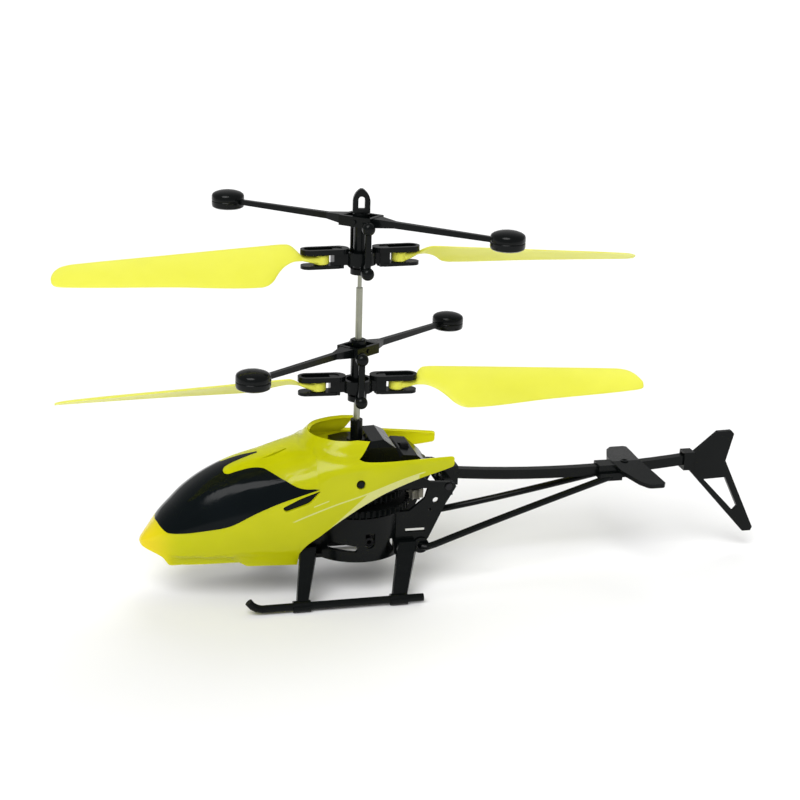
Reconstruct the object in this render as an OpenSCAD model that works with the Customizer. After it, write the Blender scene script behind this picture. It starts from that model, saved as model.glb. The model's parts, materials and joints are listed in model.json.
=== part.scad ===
// Toy helicopter with two coaxial contra-rotating rotors, as separate pieces.
// The nose points to -X, the port side to -Y, and the skids stand on z = 0.
// Inside each module the mast is the Z axis; place() moves it to its spot
// ahead of the middle of the overall length.

/* [Overall] */
// Distance of the mast ahead of the middle of the overall length
mast_forward = 18.1; // [17:0.05:19.5]
// Distance between the two skid tubes
skid_track = 36; // [32:0.5:40]

/* [Rotors] */
// Radius of each rotor, mast to blade tip
rotor_r = 71.5; // [68:0.5:74]
// Height of the lower rotor plane
lower_rotor_z = 50.3; // [50:0.1:52]
// Height of the upper rotor plane
upper_rotor_z = 81.6; // [80:0.1:84]
// Turn of the lower blades about the mast at rest
lower_azimuth = -3.1; // [-10:0.1:10]
// Turn of the upper blades about the mast at rest
upper_azimuth = 4.1; // [-10:0.1:10]
// Pitch of a blade at its root
root_pitch = 28; // [20:1:30]
// Pitch of a blade at its tip
tip_pitch = 21; // [12:1:24]
// Droop of each blade at rest: lower front, lower rear, upper front, upper rear
blade_droop = [3.8, 1.4, 2.4, 3.7]; // [0:0.1:5]
// Height of a blade's root above the rotor plane
blade_rise = 0.9; // [0.6:0.1:1]
// Height of the flybar pivot above the rotor plane
flybar_lift = 8.9; // [8.5:0.1:9.5]
// Radius from the mast to the middle of a flybar weight
flybar_r = 38; // [34:0.5:42]
// Direction of the lower flybar against the lower blades
lower_flybar_turn = 43.5; // [42:0.5:48]
// Direction of the upper flybar against the upper blades
upper_flybar_turn = 47.6; // [42:0.5:48]
// Tilt of the lower flybar at rest
lower_flybar_tilt = 1.5; // [0:0.1:2]
// Radius from the mast to the link rods
link_r = 6; // [5.8:0.1:6.2]

/* [Drive] */
// Gear module: pitch diameter divided by teeth
gear_module = 0.5; // [0.5:0.01:0.5]
// Teeth of the gear on the inner shaft
inner_teeth = 52; // [52:4:52]
// Teeth of the gear on the outer tube
outer_teeth = 46; // [46:4:46]
// Teeth of each motor pinion
pinion_teeth = 8; // [8:1:8]
// Radius of the inner shaft
shaft_r = 0.5; // [0.4:0.05:0.5]
// Radius of the outer mast tube
tube_r = 0.8; // [0.8:0.05:0.9]

/* [Body] */
// Radius of the gearbox barrel
barrel_r = 12.2; // [12:0.1:12.4]
// Wall of the moulded frame
frame_wall = 1; // [0.8:0.1:1.2]
// Wall of the canopy shell
canopy_wall = 0.9; // [0.7:0.1:1]

/* [Hidden] */
$fn = 48;
run_gap = 0.06;          // radial clearance of a shaft in its bearing
seat_gap = 0.02;         // radial clearance of a piece pressed on a shaft

black = [0.06, 0.065, 0.07];
yellow = [0.82, 0.86, 0.1];
blade_yellow = [0.92, 0.92, 0.28];
steel = [0.68, 0.68, 0.64];

// ---- heights along the mast ----
deck_z = 35.8;
collar_top = 41.5;
inner_gear_z = 20.6;
outer_gear_z = 23.6;
gear_h = 1.6;
tube_top = 74.3;
shaft_bottom = 15;
shaft_end = 10.6;        // top of the inner shaft above the upper rotor plane
frame_floor = 9;
window_low = 20;
window_high = 26;
inner_gear_r = gear_module * inner_teeth / 2;
outer_gear_r = gear_module * outer_teeth / 2;
pinion_r = gear_module * pinion_teeth / 2;
rear_motor_x = inner_gear_r + pinion_r;
front_motor_x = -(outer_gear_r + pinion_r);

module place() { translate([-mast_forward, 0, 0]) children(); }
module starboard() { mirror([0, 1, 0]) children(); }
module ring(outer, inner, h) {
    difference() {
        cylinder(r = outer, h = h);
        translate([0, 0, -1]) cylinder(r = inner, h = h + 2);
    }
}
// Straight round rod between two points
module rod(p, q, r) {
    d = q - p;
    translate(p)
        rotate([0, acos(d.z / norm(d)), atan2(d.y, d.x)])
            cylinder(r = r, h = norm(d));
}
// Round tube swept along a list of points
tube_sides = 16;
function unit(v) = v / norm(v);
function tube_ring(path, k, r) =
    let (last = len(path) - 1,
         t = unit(path[min(k + 1, last)] - path[max(k - 1, 0)]),
         u = unit(cross(t, [0, 0, 1])), w = cross(u, t))
    [for (j = [0 : tube_sides - 1])
        path[k] + r * (cos(360 * j / tube_sides) * u + sin(360 * j / tube_sides) * w)];
module swept_tube(path, r) {
    n = tube_sides;
    m = len(path);
    points = [for (k = [0 : m - 1]) each tube_ring(path, k, r)];
    faces = concat(
        [[for (j = [n - 1 : -1 : 0]) j]],
        [for (k = [0 : m - 2]) for (j = [0 : n - 1])
            let (a = k * n + j, b = k * n + (j + 1) % n) each [[a, b, b + n], [a, b + n, a + n]]],
        [[for (j = [0 : n - 1]) (m - 1) * n + j]]);
    polyhedron(points, faces, convexity = 3);
}
// Plate drawn in the XZ plane and extruded from y0 towards +Y
module side_plate(outline, y0, thickness) {
    translate([0, y0 + thickness, 0])
        rotate([90, 0, 0])
            linear_extrude(thickness) polygon(outline);
}

// ==== canopy and windscreen ====
// Curves along the body, as [x, value] pairs
top_curve = [[-52.7, 14], [-50.5, 16.9], [-48, 20.2], [-45.5, 22.8], [-42.6, 25.6],
    [-39.5, 28], [-36.5, 29.9], [-33.4, 31.5], [-30.3, 32.8], [-27.3, 33.7],
    [-23.6, 34.6], [-18, 36.3], [-14.5, 37.4], [-12, 39.3], [-8, 41.4], [-4, 42.7],
    [2, 43.1], [24, 37]];
width_curve = [[-52.7, 1.2], [-50.5, 3.9], [-48, 6.4], [-45.5, 8.1], [-42.6, 9.3],
    [-36.5, 10.9], [-30.3, 12], [-23.6, 13], [-15, 13.9], [-5, 14.1], [0, 13.8],
    [6, 13.1], [13.2, 11.6], [22.4, 9.5]];
waist_curve = [[-52.7, 13.5], [-48, 15.4], [-40, 17], [-30, 19], [-20, 22],
    [-10, 25], [0, 28], [10, 31], [22.4, 32.8]];
low_curve = [[-52.7, 12.9], [-48, 11.3], [-46, 9.1], [-29.3, 9.9], [-28, 9.1],
    [-16.2, 9.1], [-15.8, 12.6], [-10.9, 17.3], [-4.7, 22], [0, 24.8],
    [5.6, 27.4], [13.2, 29.6], [22.4, 31.6]];
screen_low_curve = [[-49, 19.2], [-46.4, 17.8], [-43.6, 18.1], [-37.8, 19.1],
    [-33, 20.1], [-26, 23.6], [-20, 26.2], [-11.6, 29]];
// Half widths where the windscreen's upper edges and the prongs between them run
screen_top_y = [[-33, 4.8], [-28, 6], [-24, 7.3], [-21.5, 9], [-17, 11.5], [-11.6, 13.7]];
prong_y = [[-33, 2.6], [-24.4, 0.5]];
screen_start = -49;
prong_start = -33;
prong_end = -24.4;
screen_end = -11.6;
hood_start = -12;
hood_end = 0.4;
hood_rim_y = 9.5;
hood_centre_x = -2.5;
wing_top_z = 34.8;
base_z = 8.4;
roundness = 2.2;         // exponent of the section's superellipse

// Stations along x: nose cap, windscreen, prongs, roof, hood, wings
stations = [-52.7, -51.6, -50.4, -49, -47.4, -45.8, -43.6, -41, -38.4, -35.8, -33,
    -30.2, -27.4, -24.4, -21.5, -18.5, -16.2, -15.8, -14, -12, -11.2, -9.6, -7.2,
    -4.7, -2.2, 0.4, 3.4, 7, 11, 15, 19, 22.4];
band_cells = [4, 5, 2, 3];
half_cells = 14;

function waist(x) = lookup(x, waist_curve);
function half_width(x) = lookup(x, width_curve);
function rise(x) = lookup(x, top_curve) - waist(x);
function base_width(x) = half_width(x) * 0.8;
// A section runs from v = -1 at the base, over 0 at the waist, to 1 at the top
function section(x, v, in) =
    v < 0
    ? [half_width(x) - (half_width(x) - base_width(x)) * v * v - in,
       waist(x) + v * (waist(x) - base_z)]
    : [(half_width(x) - in) * pow(max(0, cos(90 * v)), 2 / roundness),
       waist(x) + (rise(x) - in) * pow(max(0, sin(90 * v)), 2 / roundness)];
function v_at_z(x, z) =
    z < waist(x) ? (z - waist(x)) / (waist(x) - base_z)
    : asin(pow(min(1, (z - waist(x)) / rise(x)), roundness / 2)) / 90;
function v_at_y(x, y) = acos(pow(min(1, y / half_width(x)), roundness / 2)) / 90;
function hood_v(x) =
    v_at_y(x, x < hood_centre_x
        ? sqrt(max(0.01, pow(hood_rim_y, 2) - pow(x - hood_centre_x, 2)))
        : hood_rim_y);
// The four bands of a half section: skirt, screen, prong and crown
function band_edges(x) =
    let (low = v_at_z(x, lookup(x, low_curve)),
         mid = x < screen_start ? 0.6
             : x < screen_end ? min(0.93, v_at_z(x, lookup(x, screen_low_curve))) : 0.15,
         high = x < prong_start ? mid + (1 - mid) * 0.4
              : x < screen_end ? v_at_y(x, lookup(x, screen_top_y))
              : x < -1 ? 0.42 : v_at_z(x, wing_top_z),
         crown = x < prong_start ? mid + (1 - mid) * 0.7
               : x < hood_start ? v_at_y(x, lookup(x, prong_y))
               : max(high + 0.06, hood_v(x)))
    [low, mid, high, crown, 1];
function band_lines(x) =
    let (e = band_edges(x))
    [for (b = [0 : 3]) for (k = [0 : band_cells[b] - 1])
        e[b] + (e[b + 1] - e[b]) * k / band_cells[b]];
function full_lines(x) =
    let (l = band_lines(x))
    concat([for (v = l) [-1, v]], [[-1, 1]], [for (k = [half_cells - 1 : -1 : 0]) [1, l[k]]]);
function shell_point(x, side_v, in) =
    let (t = min(in, half_width(x) - 0.05, rise(x) * 0.8),
         p = section(x, side_v[1], t))
    [x + (in > 0 ? lookup(x, [[-52.7, 1.4], [-46, 0]]) : 0), side_v[0] * p[0], p[1]];
function band_of(cell) =
    let (c = cell < half_cells ? cell : 2 * half_cells - 1 - cell)
    c < 4 ? 0 : c < 9 ? 1 : c < 11 ? 2 : 3;
function is_screen(x, band) =
    x > screen_start && x < prong_start ? band > 0
    : x > prong_start && x < prong_end ? band == 1 || band == 3
    : x > prong_end && x < hood_start ? band == 1 : false;
function is_open(x, band) =
    x > hood_end ? band > 1 : x > hood_start ? band == 3 : false;
function wanted(i, j, screen) =
    i < 0 || j < 0 || i > len(stations) - 2 || j > 2 * half_cells - 1 ? false
    : let (x = (stations[i] + stations[i + 1]) / 2, b = band_of(j))
      screen ? is_screen(x, b) : !is_screen(x, b) && !is_open(x, b);
// Closed solid made of the wanted cells, each with an outer face, an inner
// face, and an edge face wherever its neighbour isn't wanted
module shell(screen, wall) {
    n = 2 * half_cells + 1;
    m = len(stations);
    points = [for (in = [0, wall]) for (x = stations) for (s = full_lines(x))
        shell_point(x, s, in)];
    function at(side, i, j) = side * m * n + i * n + j;
    faces = [for (i = [0 : m - 2]) for (j = [0 : n - 2])
        if (wanted(i, j, screen)) each concat(
            [[at(0, i, j), at(0, i, j + 1), at(0, i + 1, j + 1)],
             [at(0, i, j), at(0, i + 1, j + 1), at(0, i + 1, j)],
             [at(1, i, j), at(1, i + 1, j + 1), at(1, i, j + 1)],
             [at(1, i, j), at(1, i + 1, j), at(1, i + 1, j + 1)]],
            wanted(i, j - 1, screen) ? [] : edge_faces(at(0, i, j), at(0, i + 1, j),
                at(1, i + 1, j), at(1, i, j)),
            wanted(i, j + 1, screen) ? [] : edge_faces(at(0, i + 1, j + 1), at(0, i, j + 1),
                at(1, i, j + 1), at(1, i + 1, j + 1)),
            wanted(i - 1, j, screen) ? [] : edge_faces(at(0, i, j + 1), at(0, i, j),
                at(1, i, j), at(1, i, j + 1)),
            wanted(i + 1, j, screen) ? [] : edge_faces(at(0, i + 1, j), at(0, i + 1, j + 1),
                at(1, i + 1, j + 1), at(1, i + 1, j)))];
    polyhedron(points, faces, convexity = 6);
}
function edge_faces(a, b, c, d) = [[a, b, c], [a, c, d]];

module canopy() color(yellow) place() difference() {
    shell(false, canopy_wall);
    translate([peg_x, 20, peg_z]) rotate([90, 0, 0]) cylinder(r = peg_hole_r, h = 40);
}
module windscreen() color(black) place() shell(true, canopy_wall);

// Two moulded pegs on the frame that the canopy's sides clip over
peg_x = -1.6;
peg_z = 29.8;
peg_r = 0.8;
peg_hole_r = 1.1;
module canopy_pegs() color(black) place()
    for (side = [-1, 1]) translate([peg_x, side * (barrel_r + seat_gap), peg_z])
        rotate([-90 * side, 0, 0]) {
            cylinder(r = peg_r, h = 1.9);
            cylinder(r = 1.15, h = 0.4);
        }

// ==== frame ====
plate_y = 9;             // outer face of the flat rear plates
plate_start = 8.4;
half_gap = 0.05;         // joint line between the two frame halves
socket_x = 14.8;
socket_z = 11.2;
socket_bore = 0.9;
socket_reach = 0.5;      // how far the socket stands out of the plate
floor_hole_r = 8.4;
rear_outline = [[plate_start, frame_floor], [13.4, 9.6], [16.6, 12.8], [20.8, 21.8],
    [23.3, 26], [22.9, 26.8], [21.8, 27.2], [16.6, 27.6], [13, 30.4], [plate_start, 30.4]];
module gear_window() {
    // Slot for the gears: all round the barrel, rising towards the rear plates
    side_plate([[-20, window_low], [11.6, window_low + 0.2], [15.5, 23.4],
        [16.2, window_high], [-20, window_high]], -20, 40);
}
module frame_half() {
    difference() {
        union() {
            intersection() {
                translate([0, 0, frame_floor]) difference() {
                    cylinder(r = barrel_r, h = 21, $fn = 96);
                    translate([0, 0, frame_wall])
                        cylinder(r = barrel_r - frame_wall, h = 21, $fn = 96);
                }
                translate([-20, -20, 0]) cube([20 + plate_start, 20 - half_gap, 40]);
            }
            side_plate(rear_outline, -plate_y, frame_wall);
            // ear behind the canopy's peg
            translate([peg_x - 1.6, -barrel_r, 28]) cube([3.2, frame_wall, 3.6]);
            // front tray shelf that the canopy's skirt closes round
            translate([-15.6, -7.5, frame_floor])
                cube([6.5, 7.5 - half_gap, frame_wall]);
        }
        gear_window();
        // opening in front for the motor and its mount
        translate([front_motor_x, 0, front_can_z - 0.5]) cylinder(r = front_can_r + 0.15, h = 9);
        translate([front_motor_x, 0, mount_z - 0.05]) cylinder(r = mount_r + 0.05, h = 9);
        // bore of the tail strut's socket
        translate([socket_x, -6, socket_z]) rotate([90, 0, 0]) cylinder(r = socket_bore, h = 6);
        // round opening in the floor of the barrel
        translate([0, 0, frame_floor - 1]) cylinder(r = floor_hole_r, h = 3);
        // long slot low on the barrel's side
        side_plate([[-8.4, 12.6], [-8, 11.9], [-2, 11.6], [-1.6, 12.2], [-2, 13.2], [-8.1, 13.9]], -16, 10);
        // upright slot in front of the charging socket
        translate([1.4, -10, 13.6]) rotate([90, 0, 0]) cylinder(r = 1.2, h = 4);
        translate([0.2, -14, 13.6]) cube([2.4, 4, 2.6]);
        // opening where the wires come out
        side_plate([[5.7, 10.3], [7.8, 10.3], [7.8, 12.8], [7.2, 13.8], [6.4, 13.8], [5.7, 12.6]], -12, 8);
        // slot, screw hole and two small holes in the flat plate
        translate([10.8, -10, 14.7]) cube([5, 3, 1]);
        translate([18.2, -6, 22.7]) rotate([90, 0, 0]) cylinder(r = 0.75, h = 5);
        translate([16.8, -6, 20.4]) rotate([90, 0, 0]) cylinder(r = 0.4, h = 5);
        translate([screw_x, -6, screw_z]) rotate([90, 0, 0]) cylinder(r = 0.5, h = 5);
    }
    // socket that holds the front end of the tail strut
    translate([socket_x, -plate_y + 0.9, socket_z]) rotate([90, 0, 0])
        ring(2, socket_bore, socket_reach + 0.9);
}
module frame_left() color(black) place() frame_half();
module frame_right() color(black) place() starboard() frame_half();
screw_x = 21.3;
screw_z = 26.1;
module frame_screws() color(steel) place()
    for (side = [-1, 1]) translate([screw_x, side * plate_y, screw_z])
        rotate([-90 * side, 0, 0]) {
            translate([0, 0, -2.8]) cylinder(r = 0.45, h = 3);
            cylinder(r = 0.85, h = 0.45);
        }

// Bridge over the gears that carries the mast collar and the power switch
deck_outline = [[-6, 30.6], [-5.6, 35.2], [-2.4, deck_z], [1.4, deck_z], [2.4, 37.6],
    [5.6, 37.8], [8.4, 36], [9.4, 33.4], [10.2, 34.2], [13.8, 33.8], [17.6, 30.4],
    [17.6, 29.4], [8, 29.4], [8, 30.6]];
foot_start = -5.4;
foot_half = sqrt(pow(barrel_r - frame_wall, 2) - pow(foot_start, 2)) - run_gap;
switch_x = 11.9;
switch_y = 1;
switch_slot = [2.4, 3.8];
module upper_deck() color(black) place() difference() {
    union() {
        side_plate(deck_outline, -7, 14);
        // lugs that rest inside the rear plates
        translate([10.5, -plate_y + frame_wall + 0.02, 26.8])
            cube([5, 2 * (plate_y - frame_wall - 0.02), 3]);
        // front feet that reach the barrel wall
        translate([foot_start, -foot_half, 28.6]) cube([3, 2 * foot_half, 2.2]);
    }
    translate([0, 0, 20]) cylinder(r = 1.5, h = 30);
    translate([0, 0, deck_z]) cylinder(r = 2.35, h = 5);
    // pocket for the rear motor
    translate([rear_motor_x, 0, 20]) cylinder(r = 2.52, h = 11.2);
    // well of the power switch
    translate([switch_x - switch_slot[0] / 2, -switch_slot[1] / 2, 32.6])
        cube([switch_slot[0], switch_slot[1], 4]);
    // chamfers along the top edges
    for (side = [-1, 1]) translate([-10, side * 7, 39])
        rotate([45, 0, 0]) translate([0, -1.9, -1.9]) cube([40, 3.8, 3.8]);
}
module power_switch() color([0.12, 0.12, 0.12]) place()
    translate([switch_x, -switch_y + 0.3, 32.62]) {
        translate([-0.9, -0.9, 0]) cube([1.8, 1.8, 1.9]);
        for (k = [-1 : 1]) translate([-0.9, k * 0.5 - 0.12, 1.8]) cube([1.8, 0.24, 0.4]);
    }
module mast_collar() color(black) place() {
    translate([0, 0, 30.8]) ring(1.48, tube_r + run_gap, collar_top - 30.8);
    translate([0, 0, deck_z + 0.02]) ring(2.3, 1.4, 0.9);
}
module bearing_bridge() color(black) place() difference() {
    union() {
        translate([-3, -3, 17]) cube([16, 6, 1.4]);
        translate([9.4, -plate_y + frame_wall + 0.02, 17])
            cube([3.6, 2 * (plate_y - frame_wall - 0.02), 1.4]);
    }
    translate([0, 0, 15]) cylinder(r = 1.8, h = 6);
}
module lower_bearing() color([0.75, 0.6, 0.3]) place() {
    translate([0, 0, 16.9]) ring(1.79, shaft_r + run_gap, 1.9);
}

// ==== power and electronics ====
module battery_tray() color(black) place() {
    translate([-41, -6.2, 11]) cube([25, 12.4, 1]);
    translate([-42, -6.2, 11]) cube([1, 12.4, 5]);
    for (side = [-1, 1]) translate([-38, side * 6.7 - 0.5, 11]) cube([18, 1, 4]);
}
module battery() color([0.75, 0.77, 0.8]) place()
    translate([-40, -5.5, 12.05]) cube([22, 11, 7.5]);
module circuit_board() color([0.1, 0.3, 0.16]) place() {
    translate([-38, -6, 21.4]) cube([18, 12, 0.8]);
    for (at = [[-35, -3], [-30, 2], [-25, -2]])
        translate([at[0], at[1], 22.19]) cube([3, 2.4, 1]);
    // legs that stand on the battery's cover
    for (x = [-37.5, -21.5], side = [-1, 1])
        translate([x, side * 5 - 0.5, 19.56]) cube([1, 1, 1.9]);
}
module infrared_receiver() color([0.1, 0.1, 0.12]) place()
    translate([-33, 0, 22.21]) {
        translate([5, -4.5, 0]) cube([3, 2, 3]);
        translate([6.5, -3.5, 3]) cylinder(r = 0.9, h = 0.6);
    }
module induction_sensor() color([0.2, 0.2, 0.25]) place()
    for (x = [-26, -22]) translate([x, 0, 9.4]) {
        cylinder(r = 1.2, h = 1.55);
        sphere(r = 1.2);
    }
module charge_socket() color([0.15, 0.15, 0.16]) place()
    translate([1.4, -11, 13.6]) rotate([-90, 0, 0]) difference() {
        cylinder(r = 1.15, h = 6);
        translate([0, 0, -1]) cylinder(r = 0.6, h = 5);
    }

// ==== motors and gears ====
module motor(can_r, can_z, can_h, shaft_z) {
    translate([0, 0, can_z]) cylinder(r = can_r, h = can_h);
    translate([0, 0, shaft_z]) cylinder(r = 0.4, h = can_z - shaft_z + 0.5);
}
front_can_z = 26.2;
front_can_r = 3;
mount_r = 3.9;
mount_z = 28.8;
rear_can_z = 23.4;
module front_motor() color(steel) place() translate([front_motor_x, 0, 0])
    motor(front_can_r, front_can_z, 9, outer_gear_z - 0.5);
module rear_motor() color(steel) place() translate([rear_motor_x, 0, 0])
    motor(2.5, rear_can_z, 7.6, inner_gear_z - 0.6);
module front_motor_mount() color(black) place() difference() {
    union() {
        translate([front_motor_x, 0, mount_z]) cylinder(r = mount_r, h = 4);
        // arm that reaches the deck's front face
        translate([front_motor_x, -2, 31]) cube([-6.02 - front_motor_x, 4, 1.8]);
    }
    translate([front_motor_x, 0, 20]) cylinder(r = front_can_r + seat_gap, h = 20);
}
tooth_out = 0.38;        // height of a tooth above the pitch circle
tooth_in = 0.55;         // depth of a tooth below the pitch circle
module gear(teeth, h, bore, first) {
    r = gear_module * teeth / 2;
    difference() {
        union() {
            cylinder(r = r - tooth_in, h = h);
            for (k = [0 : teeth - 1]) rotate([0, 0, first + 360 * k / teeth])
                linear_extrude(h) polygon([[r - tooth_in - 0.3, -0.4], [r + tooth_out, -0.12],
                    [r + tooth_out, 0.12], [r - tooth_in - 0.3, 0.4]]);
        }
        translate([0, 0, -1]) cylinder(r = bore, h = h + 2);
    }
}
module gear_wheel(teeth, bore, hub_h) {
    r = gear_module * teeth / 2;
    difference() {
        gear(teeth, gear_h, bore, 0);
        for (k = [0 : 5]) rotate([0, 0, 30 + 60 * k])
            translate([r * 0.55, 0, -1]) cylinder(r = r * 0.19, h = gear_h + 2);
    }
    translate([0, 0, -hub_h]) ring(2.6, bore, gear_h + 2 * hub_h);
}
module inner_gear() color([0.1, 0.1, 0.1]) place()
    translate([0, 0, inner_gear_z]) gear_wheel(inner_teeth, shaft_r + seat_gap, 0.5);
module outer_gear() color([0.1, 0.1, 0.1]) place()
    translate([0, 0, outer_gear_z]) gear_wheel(outer_teeth, tube_r + seat_gap, 0.5);
module rear_pinion() color([0.85, 0.85, 0.8]) place()
    translate([rear_motor_x, 0, inner_gear_z - 0.3])
        gear(pinion_teeth, 2.2, 0.4 + seat_gap, 180 / pinion_teeth);
module front_pinion() color([0.85, 0.85, 0.8]) place()
    translate([front_motor_x, 0, outer_gear_z - 0.3])
        gear(pinion_teeth, 2.2, 0.4 + seat_gap, 180 / pinion_teeth);

// ==== tail ====
boom_sag_x = 56;
boom_low_z = 24.65;
boom_curve_r = 300;
boom_w = 2.2;
boom_h = 2.5;
boom_x = [for (k = [0 : 12]) 22 + (89.5 - 22) * k / 12];
function boom_z(x) = boom_low_z + pow(x - boom_sag_x, 2) / (2 * boom_curve_r);
module tail_boom() color(black) place() difference() {
    side_plate(concat([for (x = boom_x) [x, boom_z(x) + boom_h / 2]],
        [for (k = [12 : -1 : 0]) [boom_x[k], boom_z(boom_x[k]) - boom_h / 2]]),
        -boom_w / 2, boom_w);
    // the shallow channel along the starboard side
    side_plate(concat([for (k = [1 : 11]) [boom_x[k], boom_z(boom_x[k]) + 0.6]],
        [for (k = [11 : -1 : 1]) [boom_x[k], boom_z(boom_x[k]) - 0.6]]), 0.6, 2);
}
module tail_mount() color(black) place() difference() {
    union() {
        translate([20.9, -plate_y + frame_wall + 0.02, 23.4])
            cube([1.8, 2 * (plate_y - frame_wall - 0.02), 3.5]);
        translate([21.4, -2.2, 23.7]) cube([4.2, 4.4, 4.9]);
    }
    translate([20, -boom_w / 2 - seat_gap, 24.85]) cube([9, boom_w + 2 * seat_gap, 3.05]);
    for (side = [-1, 1]) translate([screw_x, 0, screw_z])
        rotate([90 * side, 0, 0]) translate([0, 0, 5.9]) cylinder(r = 0.47, h = 4);
}
strut_r = 0.85;
// A strut runs along a curve with these ends and this control point
strut_start = [18.2, -10, 11.5];
strut_bend = [34, -6, 15];
strut_end = [66.4, -2.15, 23.4];
function strut_point(t) = strut_start * pow(1 - t, 2) + strut_bend * 2 * t * (1 - t)
    + strut_end * t * t;
module tail_strut() {
    // hooked end that plugs into the frame's socket
    hook_y = -plate_y - socket_reach;
    swept_tube(concat([[socket_x, hook_y + 1.2, socket_z], [socket_x, hook_y, socket_z],
        [socket_x + 0.3, hook_y - 0.7, socket_z], [socket_x + 1, hook_y - 1, socket_z - 0.1]],
        [for (k = [0 : 8]) strut_point(k / 8)]), strut_r);
}
module tail_strut_left() color(black) place() tail_strut();
module tail_strut_right() color(black) place() starboard() tail_strut();
// Half of the stabilizer's plate, from the boom outwards
stabilizer_outline = [[67, -0.1], [67.5, 5], [70, 11.6], [71.6, 13.7], [72.4, 14],
    [75.6, 14], [76.2, 13.3], [75.6, 8], [74.5, -0.1]];
stabilizer_z = 25.5;     // underside of the plate at its middle
stabilizer_drop = 5.3;   // each half slopes down to its tip
block_start = 62.9;
block_end = 73.4;
stabilizer_run = [for (k = [0 : 4]) 60 + 4 * k];
module stabilizer() color(black) place() difference() {
    union() {
        for (side = [0, 1]) mirror([0, side, 0])
            translate([0, 0, stabilizer_z]) rotate([-stabilizer_drop, 0, 0])
                linear_extrude(1.1) polygon(stabilizer_outline);
        translate([block_start, -2.1, 22.9]) cube([block_end - block_start, 4.2, 3.5]);
        // lugs that take the ends of the two struts
        for (side = [-1, 1]) translate([block_start, side * 2.1 - 1, 22.5]) cube([6, 2, 2]);
        // raised ring on the plate
        translate([70.4, 0, stabilizer_z + 0.9]) ring(1, 0.6, 0.4);
    }
    side_plate(concat([for (x = stabilizer_run) [x, boom_z(x) + boom_h / 2 + run_gap]],
        [for (k = [4 : -1 : 0]) [stabilizer_run[k], boom_z(stabilizer_run[k]) - boom_h / 2 - run_gap]]),
        -boom_w / 2 - run_gap, boom_w + 2 * run_gap);
    for (side = [0, 1]) mirror([0, side, 0])
        rod(strut_point(0.75), strut_end + 0.02 * (strut_end - strut_point(0.75)),
            strut_r + 0.1);
}
fin_outline = [[88.2, 27.2], [95.4, 33.3], [99.2, 33.4], [100, 32.5], [98.3, 25.2],
    [107.8, 6], [107.4, 5], [105.1, 5], [88.6, 22.8]];
fin_window = [[92.6, 20.4], [98.6, 20.6], [102.9, 12], [101.9, 10.9]];
module tail_fin() color(black) place() difference() {
    union() {
        side_plate(fin_outline, -0.6, 1.2);
        translate([86.2, -1.7, 23.6]) cube([2.8, 3.4, 4.8]);
    }
    side_plate(fin_window, -2, 4);
    translate([80, -boom_w / 2 - 0.03, 24.8]) cube([9.6, boom_w + 0.06, 3.1]);
}

// ==== landing gear ====
skid_y = skid_track / 2;
skid_r = 0.95;
foot_r = 1.4;
skid_front = -25.8;
skid_rear = 13.5;
front_foot_x = -16.3;
rear_foot_x = 8;
skid_path = [[skid_rear, -skid_y, foot_r], [skid_front, -skid_y, foot_r],
    [-27, -skid_y, foot_r + 0.3], [-28.1, -skid_y, foot_r + 1], [-29, -skid_y, foot_r + 2.1]];
module skid() swept_tube(skid_path, skid_r);
module skid_left() color(black) place() skid();
module skid_right() color(black) place() starboard() skid();
// One leg: a flat blade from a lug on the frame to a sleeve round the skid
module leg(foot_x, foot_w, top, top_w, top_h) {
    difference() {
        union() {
            hull() {
                translate([foot_x - foot_w / 2, -skid_y - 0.7, foot_r]) cube([foot_w, 1.4, 0.4]);
                translate([top[0] - top_w / 2, top[1] - 1, top[2]]) cube([top_w, 1.4, top_h]);
            }
            translate([foot_x - 2.1, -skid_y, foot_r]) rotate([0, 90, 0])
                cylinder(r = foot_r, h = 4.2);
        }
        translate([foot_x - 8, -skid_y, foot_r]) rotate([0, 90, 0])
            cylinder(r = skid_r + seat_gap, h = 16);
    }
}
module front_leg() {
    leg(front_foot_x, 2.6, [-13.6, -10.6, 11], 3.8, 2.6);
    translate([-15.5, -11.2, 10.05]) cube([3.8, 4.2, 0.95]);
}
module rear_leg() {
    leg(rear_foot_x - 0.6, 3.4, [11, -plate_y - 0.75, 9.9], 4.4, 3);
}
module front_leg_left() color(black) place() front_leg();
module front_leg_right() color(black) place() starboard() front_leg();
module rear_leg_left() color(black) place() rear_leg();
module rear_leg_right() color(black) place() starboard() rear_leg();

// ==== rotors ====
// Both rotors share one set of shapes, drawn with the blades along X and the
// rotor plane at z = 0; the upper one is the mirror image of the lower one
module lower_place() place() translate([0, 0, lower_rotor_z])
    rotate([0, 0, lower_azimuth]) children();
module upper_place() place() translate([0, 0, upper_rotor_z])
    rotate([0, 0, upper_azimuth]) mirror([0, 1, 0]) children();
post_r = 1.65;
pivot_r = 0.5;
link_top = flybar_lift - 0.9;
link_low = -2.6;
ball_r = 0.8;
eye_in = 1;
eye_out = 1.5;
eye_t = 2.15;
grip_pin_x = 9.5;
grip_end = 12.2;

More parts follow.
